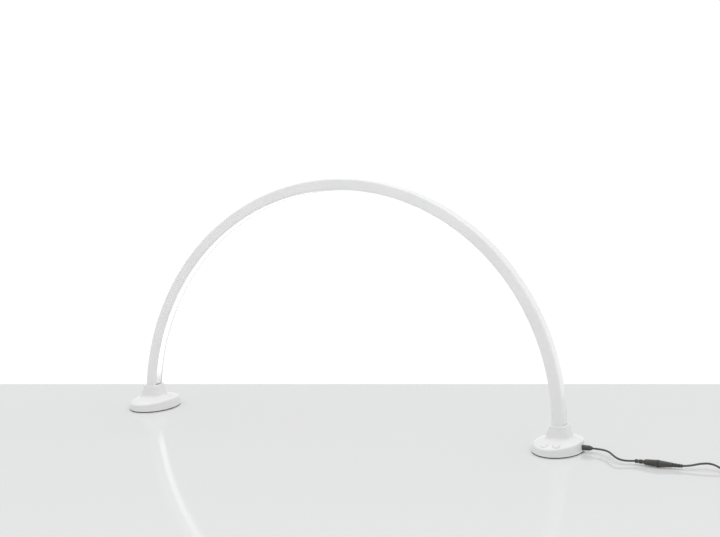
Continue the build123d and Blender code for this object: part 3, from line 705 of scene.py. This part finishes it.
@dataclass
class Coil:
    """The put-away turns of the supply lead, in layers that wind in and out by turns."""

    centre: tuple[float, float] = (0.664, -0.035)
    radii: tuple[float, ...] = (0.0205, 0.0175, 0.0145)
    heights: tuple[float, ...] = (0.0023, 0.0053, 0.0083, 0.0113)
    turns: float = 11.5
    per_turn: int = 16
    change: float = 0.25        # the last part of each turn, where it moves to the next slot

    def points(self) -> list[Point]:
        """The coil's control points, from just after its front point to just before its back.

        Each turn keeps to its slot (a radius and a height) and moves smoothly to the next in its
        last quarter. A spline of order 3 runs inside its control points by the cosine of half a
        step, so the radius is divided by that.

        Returns:
            The points, in order.
        """
        slots = []
        for layer, height in enumerate(self.heights):
            radii = self.radii if layer % 2 == 0 else self.radii[::-1]
            slots += [(radius, height) for radius in radii]
        table = np.array(slots + slots[-1:])
        steps = int(self.turns * self.per_turn)
        turn = np.arange(1, steps) / self.per_turn
        slot = np.floor(turn).astype(int)
        move = np.clip((turn - slot - 1 + self.change) / self.change, 0, 1)
        move = (move * move * (3 - 2 * move))[:, None]
        place = table[slot] * (1 - move) + table[slot + 1] * move
        angle = -math.pi / 2 + ROUND * turn
        radius = place[:, 0] / math.cos(math.pi / self.per_turn)
        x = self.centre[0] + radius * np.cos(angle)
        y = self.centre[1] + radius * np.sin(angle)
        return [tuple(point) for point in np.column_stack([x, y, place[:, 1]]).tolist()]


@dataclass
class Supply:
    """The leads, their in-line connector and the tied coil."""

    diameter: float = 0.003
    axis: tuple[float, float] = (-0.035, 0.0055)
    bush_axis: tuple[float, float] = (0.0, 0.0075)
    socket_relief: float = 14 * MM      # length of the socket's strain relief
    plug_relief: float = 11 * MM
    plug_reach: float = 1.2 * MM        # how far the plug's relief runs over the lead
    relief_thick: tuple[float, float] = (3.4 * MM, 3.2 * MM)    # radii of socket and plug
    relief_thin: tuple[float, float] = (2.7 * MM, 2.4 * MM)
    relief_slots: tuple[int, int] = (4, 6)
    body_thin: tuple[float, float] = (4.45 * MM, 3.6 * MM)
    collar: float = 5.35 * MM           # radius where the two halves meet
    bore: float = 2.9 * MM
    bore_mouth: float = 4.4 * MM
    bore_depth: float = 10.5 * MM
    ring_step: float = 0.05 * MM        # between the last ring of a relief and the body's first

    def build(self) -> None:
        """Make the cords first, then what is on them."""
        coil = Coil()
        captive = cord_curve("captive_lead", CAPTIVE_ROUTE, self.diameter)
        route = SUPPLY_ROUTE + coil.points() + TAIL_ROUTE
        supply = cord_curve("supply_lead_cord", route, self.diameter)
        dress(captive, JACKET, "root", "captive_cord")
        dress(supply, JACKET, "supply_lead", "supply_cord", "supply_coil", "supply_tail")
        self._bush()
        socket = self._socket()
        plug = self._plug()
        tie = self._tie(coil)

    def _bush(self) -> None:
        """The strain relief at the foot: shallow rings on a round body, then a taper."""
        low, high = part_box("cord_bush")
        tip = high[0]
        start = low[0] + 1.2 * MM
        x = np.linspace(start, tip, 90)
        body, neck, sleeve, taper_length = 4.1 * MM, 2.7 * MM, 0.8 * MM, 5 * MM
        ring_pitch, ring_depth, plain = 2.6 * MM, 0.28 * MM, 1.5 * MM
        taper = np.clip((x - (tip - taper_length)) / taper_length, 0, 1)
        radius = body - (body - self.diameter / 2 - sleeve) * taper ** 1.3
        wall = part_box("right_foot_pad")[1][0] - plain
        radius = np.where(x < wall, neck, radius)
        rings = np.cos((x - wall) * ROUND / ring_pitch) * 0.5 + 0.5
        radius -= ring_depth * rings * (x > wall + plain) * (1 - taper)
        piece = lathe_x("lead_bush", x, radius, *self.bush_axis)
        dress(piece, OVERMOULD, "root", "cord_bush")

    def _relief(self, x: Array, start: float, end: float, thick: float, thin: float,
                slots: int, angle: Array) -> Array:
        """The radius of a slotted strain relief: grooves across, bridged on alternate sides.

        Args:
            x: where each ring is.
            start: where the thick end is.
            end: where the thin end is.
            thick: the radius at the thick end.
            thin: the radius at the thin end.
            slots: how many grooves there are.
            angle: the angles round each ring.

        Returns:
            A radius for each ring and each angle.
        """
        core = 1.9 * MM                             # radius at the bottom of a groove
        middle, half_width, steepness = 0.6, 0.24, 3    # of a groove, in steps from one to the next
        plain_end, bridge_edge = 0.98, 0.9
        part = (x - start) / (end - start)
        outer = thick + (thin - thick) * part
        wave = part * slots
        index = np.floor(wave)
        groove = np.clip(1 - np.abs(wave - index - middle) / half_width, 0, 1) * (part < plain_end)
        groove = np.clip(groove * steepness, 0, 1)
        bridge = np.cos(2 * (angle[None, :] + (index[:, None] % 2) * math.pi / 2)) > bridge_edge
        depth = (outer - core)[:, None] * groove[:, None] * (1 - bridge)
        return outer[:, None] - depth

    def _socket(self) -> Piece:
        """The in-line socket: slotted relief, a body that grows to a collar, and its bore."""
        low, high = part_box("inline_socket")
        start, seam = low[0], high[0]
        relief = start + self.socket_relief
        angle = ring_angles(56)
        x = np.concatenate([np.linspace(start, relief, 90),
                            np.linspace(relief + self.ring_step, seam, 70)])
        body = self._body(x, relief, seam, self.body_thin[0], self.collar, angle)
        first = self._relief(x, relief, start, self.relief_thick[0], self.relief_thin[0],
                             self.relief_slots[0], angle)
        radius = np.where((x < relief)[:, None], first, body)
        depth = np.array([seam, seam, seam - self.bore_depth])
        inner = np.array([self.bore_mouth, self.bore, self.bore])[:, None] * np.ones(len(angle))
        piece = lathe_x("lead_socket", np.concatenate([x, depth]), np.vstack([radius, inner]),
                        *self.axis)
        return dress(piece, OVERMOULD, "root", "inline_socket")

    def _body(self, x: Array, thin_x: float, thick_x: float, thin: float, thick: float,
              angle: Array) -> Array:
        """The connector's body: a round end, a slow swell, grip ridges and a collar.

        Args:
            x: where each ring is.
            thin_x: the end at the relief.
            thick_x: the end at the seam.
            thin: the radius near the relief.
            thick: the radius at the seam.
            angle: the angles round each ring.

        Returns:
            A radius for each ring and each angle.
        """
        end_length, end_drop = 1.4 * MM, 1.1 * MM
        rim_round = 0.35 * MM
        collar_width, collar_slope, collar_proud = 1.9 * MM, 0.25 * MM, 0.3 * MM
        ridge_pitch, ridge_depth, grip_start, grip_end = 1.5 * MM, 0.28 * MM, 0.25, 0.78
        length = abs(thick_x - thin_x)
        part = np.clip((x - thin_x) / (thick_x - thin_x), 0, 1)
        radius = thin + (thick - thin) * part
        edge = np.clip(part * length / end_length, 0, 1)
        radius = radius - end_drop * (1 - np.sqrt(1 - (1 - edge) ** 2))
        rim = np.clip((1 - part) * length / rim_round, 0, 1)
        radius = radius - rim_round * (1 - np.sqrt(1 - (1 - rim) ** 2))
        past_collar = np.clip(((1 - part) * length - collar_width) / collar_slope, 0, 1)
        radius = radius - collar_proud * past_collar
        ridges = 0.5 - 0.5 * np.cos(part * length * ROUND / ridge_pitch)
        grip = ((part > grip_start) & (part < grip_end)) * ridges
        sides = np.clip(np.abs(np.cos(angle)) * 4 - 2.8, 0, 1)     # the ridges are on two sides
        return radius[:, None] - ridge_depth * grip[:, None] * sides[None, :]

    def _plug(self) -> Piece:
        """The in-line plug: a collar at the seam, a tapering body and a slotted relief."""
        low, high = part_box("inline_plug")
        seam, end = low[0], SUPPLY_ROUTE[0][0] + self.plug_reach
        relief = high[0] - self.plug_relief
        angle = ring_angles(56)
        x = np.concatenate([np.linspace(seam, relief - self.ring_step, 80),
                            np.linspace(relief, end, 80)])
        body = self._body(x, relief, seam, self.body_thin[1], self.collar, angle)
        tail = self._relief(x, relief, end, self.relief_thick[1], self.relief_thin[1],
                            self.relief_slots[1], angle)
        radius = np.where((x < relief)[:, None], body, tail)
        piece = lathe_x("lead_plug", x, radius, *self.axis)
        return dress(piece, OVERMOULD, "supply_lead", "inline_plug")

    def _tie(self, coil: Coil) -> Piece:
        """The strap: a flat band carried round the bundle's section, on the far side in X.

        Args:
            coil: the coil that it holds.

        Returns:
            The strap.
        """
        cord = self.diameter / 2
        low, high = coil.heights[0] - cord, coil.heights[-1] + cord
        inner, outer = coil.radii[-1] - cord, coil.radii[0] + cord
        gap, thick, half = 0.05 * MM, 0.6 * MM, 4 * MM
        loop = fillet_loop([(inner - gap, low - gap, cord), (outer + gap, low - gap, cord),
                            (outer + gap, high + gap, cord), (inner - gap, high + gap, cord)], 8)
        middle = loop.mean(axis=0)
        tangent = np.roll(loop, -1, axis=0) - np.roll(loop, 1, axis=0)
        normal = np.column_stack([tangent[:, 1], -tangent[:, 0]])
        normal /= np.linalg.norm(normal, axis=1)[:, None]
        normal *= np.sign(((loop - middle) * normal).sum(axis=1))[:, None]
        edge = 0.2 * MM
        across = fillet_loop([(0.0, -half, edge), (thick, -half, edge), (thick, half, edge),
                              (0.0, half, edge)], 3)
        flat = loop[:, None, :] + normal[:, None, :] * across[None, :, :1]
        x = coil.centre[0] + flat[..., 0]
        y = np.broadcast_to(coil.centre[1] + across[None, :, 1], x.shape)
        rings = np.stack([x, y, flat[..., 1]], -1)
        piece = grid_object("coil_strap", rings, np.arange(len(loop)) * MM, closed=True)
        return dress(piece, CASE, "supply_lead", "coil_tie")


# ---- Bow --------------------------------------------------------------------------

@dataclass
class Bow:
    """The rolled channel and the lit strip in its open side, leaning back a little."""

    outer: float = 0.380
    depth: float = 0.019
    width: float = 0.024
    centre_z: float = 0.027
    lean: float = math.radians(4.0)
    corner: float = 0.0035
    wall: float = 0.002
    window: float = 0.01649
    recess: float = 0.0008
    leg: float = 0.0118             # how far the straight legs reach below the half circle
    strip_end: float = math.radians(2.2)
    arc_steps: int = 360

    def build(self) -> None:
        """Make the channel and the lit strip."""
        dress(self._channel(), ENAMEL, "root", "arch_channel")
        dress(self._strip(), OpalGlow(), "root", "arch_diffuser")

    def _carry(self, section: Array, angle: Array, drop: Array) -> Array:
        """Carry a section (distance from the bow's axis, and Y) along the bow, and lean it.

        A point at distance a from the axis goes to a times the cosine and sine of the angle, and
        then the whole turns about X through the bow's centre by the lean.

        Args:
            section: the outline, one (a, b) per row.
            angle: where each ring is on the half circle.
            drop: how far each ring lies below its place there.

        Returns:
            The rings.
        """
        x = np.cos(angle)[:, None] * section[None, :, 0]
        up = np.sin(angle)[:, None] * section[None, :, 0] - drop[:, None]
        y = np.broadcast_to(section[None, :, 1], x.shape)
        cos, sin = math.cos(self.lean), math.sin(self.lean)
        return np.stack([x, y * cos + up * sin, self.centre_z + up * cos - y * sin], -1)

    def _channel(self) -> Piece:
        """The channel: rounded outside, hollow, open to the inside between two lips."""
        low, high = self.outer - self.depth, self.outer
        half, gap, wall = self.width / 2, self.window / 2, self.wall
        fine = 0.12 * MM
        section = fillet_loop([
            (low, -gap, fine), (low, -half, self.corner - 0.05 * MM), (high, -half, self.corner),
            (high, half, self.corner), (low, half, self.corner - 0.05 * MM), (low, gap, fine),
            (low + wall, gap, fine), (low + wall, half - wall, fine),
            (high - wall, half - wall, fine), (high - wall, wall - half, fine),
            (low + wall, wall - half, fine), (low + wall, -gap, fine)], 7)
        arc = np.linspace(0, math.pi, self.arc_steps + 1)
        legs = np.linspace(self.leg, 0, 5)[:-1]
        angle = np.concatenate([np.zeros(4), arc, np.full(4, math.pi)])
        drop = np.concatenate([legs, np.zeros_like(arc), legs[::-1]])
        return grid_object("bow_channel", self._carry(section, angle, drop))

    def _strip(self) -> Piece:
        """The opal strip: its face lies just inside the lips, with a flange behind them."""
        low = self.outer - self.depth
        half, flange = self.window / 2 - 0.12 * MM, 9.6 * MM
        face, lip, back = low + self.recess, low + self.wall + 0.03 * MM, low + self.wall + 1.2 * MM
        fine = 0.15 * MM
        section = fillet_loop([
            (face, -half, 0.4 * MM), (lip, -half, fine), (lip, -flange, fine),
            (back, -flange, fine), (back, flange, fine), (lip, flange, fine), (lip, half, fine),
            (face, half, 0.4 * MM)], 4)
        angle = np.linspace(self.strip_end, math.pi - self.strip_end, self.arc_steps)
        to_end = np.minimum(angle - angle[0], angle[-1] - angle) * low
        return grid_object("lit_strip", self._carry(section, angle, np.zeros_like(angle)), to_end)


# ---- Feet -------------------------------------------------------------------------

@dataclass
class Foot:
    """An oval foot: lip, drafted skirt, shallow dome, and a neck with the leg's socket."""

    name: str
    side: int
    lip: tuple[float, float] = (0.039, 0.054)
    sole_half: tuple[float, float] = (0.0383, 0.0533)
    sole: float = 0.0016
    lip_height: float = 0.0012
    step: float = 0.0005
    draft: float = 0.0024
    skirt_top: float = 0.020
    dome: tuple[float, float, float] = (0.049, 0.0625, 0.0209)
    dome_x: float = 0.004
    dome_z: float = 0.0008
    wall: float = 0.0022
    neck_base: tuple[float, float, float] = (0.039, 0.046, 0.0125)  # sizes and corner radius
    neck_top: tuple[float, float, float] = (0.026, 0.031, 0.005)
    neck_z: tuple[float, float] = (0.017, 0.040)
    neck_blend: float = 0.0042
    rim_blend: float = 0.0017
    socket: tuple[float, float, float] = (0.0196, 0.0246, 0.0038)
    socket_floor: float = 0.014
    leg_x: float = 0.3705
    lean: float = math.radians(4.0)
    lean_z: float = 0.027
    count: int = 176

    def __post_init__(self) -> None:
        """Take the foot's centre from its sole."""
        low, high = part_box(f"{self.name}_foot_pad")
        self.centre_x = (low[0] + high[0]) / 2
        self.neck_x = self.side * self.leg_x - self.centre_x
        self.angle = ring_angles(self.count)

    def build(self) -> None:
        """Make the shell and the sole, and the buttons on the right foot."""
        shell = self._shell()
        buttons = []
        if self.side > 0:
            buttons = [Button(self, -0.009, "power"), Button(self, 0.009, "dimmer")]
        for button in buttons:
            button.cut_well(shell)
        dress(shell, SHELL, "root", f"{self.name}_foot_shell")
        dress(self._pad(), SOLE, "root", f"{self.name}_foot_pad")
        for button in buttons:
            button.build()

    def dome_height(self, x: Array, y: Array, offset: float = 0.0) -> Array:
        """The dome's height: an ellipsoid's upper half, grown by offset along its three axes.

        Args:
            x: distance from the foot's centre along X.
            y: distance along Y.
            offset: how far outside the dome.

        Returns:
            The height above the table.
        """
        a, b, c = (size + offset for size in self.dome)
        inside = 1 - ((x - self.dome_x) / a) ** 2 - (y / b) ** 2
        return self.dome_z + c * np.sqrt(np.maximum(inside, 0))

    def _ring(self, plan: Array, z: Array | float) -> Array:
        """A ring from its plan and its height, still in the foot's own place."""
        height = np.broadcast_to(np.asarray(z, float), plan.shape[:1])
        return np.column_stack([plan, height])

    def _wall_ring(self, plan: Callable[[Array], Array], z: Array | float) -> Array:
        """A wall's ring at a height, or at a height for each angle."""
        height = np.broadcast_to(np.asarray(z, float), (self.count,))
        return self._ring(plan(height), height)

    def _skirt_plan(self, z: Array, inset: float = 0.0) -> Array:
        """The skirt's oval at a height: it shrinks evenly towards the top."""
        lean_in = self.step + inset + self.draft * (z - self.sole) / (self.skirt_top - self.sole)
        half_x, half_y = self.lip[0] - lean_in, self.lip[1] - lean_in
        return np.column_stack([half_x * np.cos(self.angle), half_y * np.sin(self.angle)])

    def _neck_plan(self, z: Array) -> Array:
        """The neck's rounded rectangle at a height, between its base and its top."""
        part = (z - self.neck_z[0]) / (self.neck_z[1] - self.neck_z[0])
        size = [base + (top - base) * part for base, top in zip(self.neck_base, self.neck_top)]
        reach = rounded_box_reach(size[0] / 2, size[1] / 2, size[2], self.angle)
        return np.column_stack([self.neck_x + reach * np.cos(self.angle),
                                reach * np.sin(self.angle)])

    def _socket_plan(self, z: float, grow: float = 0.0) -> Array:
        """The leg's socket at a height: a rounded rectangle that leans back with the leg."""
        half_x, half_y = self.socket[0] / 2 + grow, self.socket[1] / 2 / math.cos(self.lean) + grow
        reach = rounded_box_reach(half_x, half_y, self.socket[2], self.angle)
        back = (z - self.lean_z) * math.tan(self.lean)
        return np.column_stack([self.neck_x + reach * np.cos(self.angle),
                                back + reach * np.sin(self.angle)])

    def _meet(self, plan: Callable[[Array], Array], inset: float = 0.0,
              start: float = 0.018) -> Array:
        """Where a wall meets the dome: the height is put back into the plan until it settles.

        Args:
            plan: gives the wall's plan at a height.
            inset: how far inside the outer dome.
            start: the first guess of the height.

        Returns:
            The ring where they meet.
        """
        z = np.full(self.count, start)
        for _ in range(12):
            xy = plan(z)
            z = 0.5 * z + 0.5 * self.dome_height(xy[:, 0], xy[:, 1], -inset)
        return self._ring(plan(z), z)

    def _on_dome(self, start: Array, end: Array, steps: int, inset: float = 0.0) -> Array:
        """Rings over the dome: the plan goes straight from one ring to the other."""
        rings = blend_rings(start, end, steps)
        rings[..., 2] = self.dome_height(rings[..., 0], rings[..., 1], -inset)
        return rings

    def _shell(self) -> Piece:
        """The shell as one closed skin, from under the socket out, up and into the socket."""
        low, cap = self.sole, self.neck_z[1]
        lip_top = low + self.lip_height
        edge, hold, box_wall, floor_wall = 0.0011, 0.0003, 0.0024, 0.002
        box = self._socket_plan(self.socket_floor, box_wall)
        under = self._ring(box, self.socket_floor - floor_wall)
        ceiling = self._meet(lambda z: box, self.wall)
        inner_rim = self._meet(lambda z: self._skirt_plan(z, self.wall), self.wall, 0.011)
        inner_low = self._wall_ring(lambda z: self._skirt_plan(z, self.wall), low)
        lip_low = self._ring(oval(self.lip, self.angle), low)
        lip_high = self._ring(oval(self.lip, self.angle), lip_top)
        ledge = self._wall_ring(self._skirt_plan, lip_top)
        rim = self._meet(self._skirt_plan, 0.0, 0.012)
        below = self._wall_ring(self._skirt_plan, rim[:, 2] - self.rim_blend)
        base = self._meet(self._neck_plan)
        toward = base[:, :2] - rim[:, :2]
        toward /= np.linalg.norm(toward, axis=1)[:, None]
        past = rim[:, :2] + toward * self.rim_blend * 1.4
        over = self._ring(past, self.dome_height(past[:, 0], past[:, 1]))
        short = base[:, :2] - toward * self.neck_blend
        foot_of_neck = self._ring(short, self.dome_height(short[:, 0], short[:, 1]))
        above = self._wall_ring(self._neck_plan, base[:, 2] + self.neck_blend)
        shoulder = self._wall_ring(self._neck_plan, cap - edge)
        crest = self._wall_ring(self._neck_plan, cap)
        mouth = self._ring(self._socket_plan(cap, 0.0003), cap)
        flat = crest + (mouth - crest) * 0.45
        mouth_low = self._ring(self._socket_plan(cap - 0.0004), cap - 0.0004)
        floor = self._ring(self._socket_plan(self.socket_floor), self.socket_floor)
        parts = [
            under[None], ceiling[None], self._on_dome(ceiling, inner_rim, 6, self.wall),
            inner_rim[None], inner_low[None], lip_low[None],
            bend(lip_high - [0, 0, hold], lip_high, lip_high * [0.993, 0.994, 1], 3), ledge[None],
            self._wall_ring(self._skirt_plan, lip_top + hold)[None],
            blend_rings(ledge, below, 7), bend(below, rim, over, 7),
            self._on_dome(over, foot_of_neck, 22),
            bend(foot_of_neck, base, above, 9), blend_rings(above, shoulder, 9),
            bend(shoulder, crest, flat, 6), mouth[None], mouth_low[None], floor[None]]
        rings = np.vstack(parts)
        rings[..., 0] += self.centre_x
        x = self.centre_x + self.neck_x
        back = (self.socket_floor - self.lean_z) * math.tan(self.lean)
        ends = ((x, back, self.socket_floor - floor_wall), (x, back, self.socket_floor))
        return grid_object(f"{self.name}_foot_casing", rings, poles=ends)

    def _pad(self) -> Piece:
        """The rubber sole: a flat oval with rounded edges and a shallow groove near its rim."""
        half = np.array(self.sole_half)
        inset = np.array([20.0, 5.0, 4.6, 3.0, 2.6, 0.5, 0.15, 0.0, 0.0, 0.15, 0.5, 20.0]) * MM
        height = np.array([0.0, 0.0, 0.4, 0.4, 0.0, 0.0, 0.15, 0.5, 1.25, 1.5, 1.6, 1.6]) * MM
        plan = np.stack([oval(tuple(half - value), self.angle) for value in inset])
        rings = np.dstack([plan, np.repeat(height[:, None], self.count, axis=1)])
        rings[..., 0] += self.centre_x
        ends = ((self.centre_x, 0, 0), (self.centre_x, 0, height[-1]))
        return grid_object(f"{self.name}_foot_sole", rings, poles=ends)


@dataclass
class Button:
    """A push button that follows the dome of its foot, in a round well."""

    foot: Foot
    x: float
    name: str
    y: float = -0.0405
    radius: float = 0.0055
    gap: float = 0.00035
    proud: float = 0.0008
    edge: float = 0.0006
    dish: float = 0.00022
    flange: float = 0.0006
    flange_radius: float = 0.00625
    stem_radius: float = 0.002
    clearance: float = 0.00035      # between the flange and the shell's inside
    well: tuple[float, float] = (0.0085, 0.03)      # heights between which the cutter runs

    def cut_well(self, shell: Piece) -> None:
        """Cut the button's round well through the shell.

        Args:
            shell: the foot's casing, whose mesh is changed.
        """
        angle = ring_angles(72)
        reach = self.radius + self.gap
        plan = np.column_stack([self.foot.centre_x + self.x + reach * np.cos(angle),
                                self.y + reach * np.sin(angle)])
        rings = np.stack([np.column_stack([plan, np.full(72, z)]) for z in self.well])
        cutter = grid_object("well_cutter", rings)
        cut = shell.modifiers.new("well", "BOOLEAN")
        cut.operation = "DIFFERENCE"
        cut.object = cutter
        cut.solver = "EXACT"
        solid = shell.evaluated_get(bpy.context.evaluated_depsgraph_get())
        mesh = bpy.data.meshes.new_from_object(solid)
        shell.modifiers.clear()
        shell.data = mesh
        mesh.set_sharp_from_angle(angle=SMOOTH_LIMIT)
        bpy.data.objects.remove(cutter)

    def build(self) -> None:
        """The cap: a dished top, a rounded edge, its skirt, a flange and a stem."""
        foot, angle = self.foot, ring_angles(64)
        inside = -foot.wall - self.clearance
        tau = np.linspace(0, math.pi / 2, 6)
        top_reach = np.concatenate([np.linspace(0.12, 1, 9) * (self.radius - self.edge),
                                    self.radius - self.edge * (1 - np.sin(tau[1:]))])
        top_drop = np.concatenate([np.zeros(9), self.edge * (1 - np.cos(tau[1:]))])
        inner = np.clip(top_reach / (self.radius - self.edge), 0, 1)
        top_drop = top_drop + self.dish * (1 - inner ** 2) ** 2
        reach = np.concatenate([top_reach, [self.radius, self.flange_radius, self.flange_radius,
                                            self.stem_radius]])
        under = inside - self.flange
        offset = np.concatenate([np.full(len(top_reach), self.proud),
                                 [inside, inside, under, under]])
        drop = np.concatenate([top_drop, np.zeros(4)])
        x = self.x + reach[:, None] * np.cos(angle)
        y = self.y + reach[:, None] * np.sin(angle)
        z = np.stack([foot.dome_height(row_x, row_y, row_offset)
                      for row_x, row_y, row_offset in zip(x, y, offset)]) - drop[:, None]
        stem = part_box(f"{self.name}_button_cap")[0][2]
        x, y = np.vstack([x, x[-1:]]), np.vstack([y, y[-1:]])
        z = np.vstack([z, np.full((1, 64), stem)])
        rings = np.stack([foot.centre_x + x, y, z], -1)
        centre_x, centre_y = foot.centre_x + self.x, self.y
        crown = float(foot.dome_height(np.array(self.x), np.array(self.y), self.proud)) - self.dish
        piece = grid_object(f"{self.name}_push_cap", rings, reach_run(rings),
                            poles=((centre_x, centre_y, crown), (centre_x, centre_y, stem)))
        dress(piece, BUTTON, f"{self.name}_button", f"{self.name}_button_cap")


def reach_run(rings: Array) -> Array:
    """The distance along the first column of points, ring by ring."""
    steps = np.linalg.norm(np.diff(rings[:, 0], axis=0), axis=1)
    return np.concatenate([[0.0], np.cumsum(steps)])


# ---- Everything that stays as it is -----------------------------------------------

def dress_nodes() -> None:
    """Give every CAD node that still shows the finish of its slot."""
    for part in frame["record"]["subparts"]:
        node = frame["nodes"][part["node"]]
        if node.hide_render:
            continue
        node.data.materials.clear()
        node.data.materials.append(FINISHES[part["material_slot"]].material())
        log.info("%s: finish %s", part["node"], part["material_slot"])


def main() -> None:
    """Build the studio, the leads, the bow and the feet, and dress what is left."""
    logging.basicConfig(level=logging.INFO, format="%(name)s %(message)s")
    Studio().build()
    Supply().build()
    Bow().build()
    Foot("left", -1).build()
    Foot("right", 1).build()
    dress_nodes()


if __name__ == "__main__":
    main()
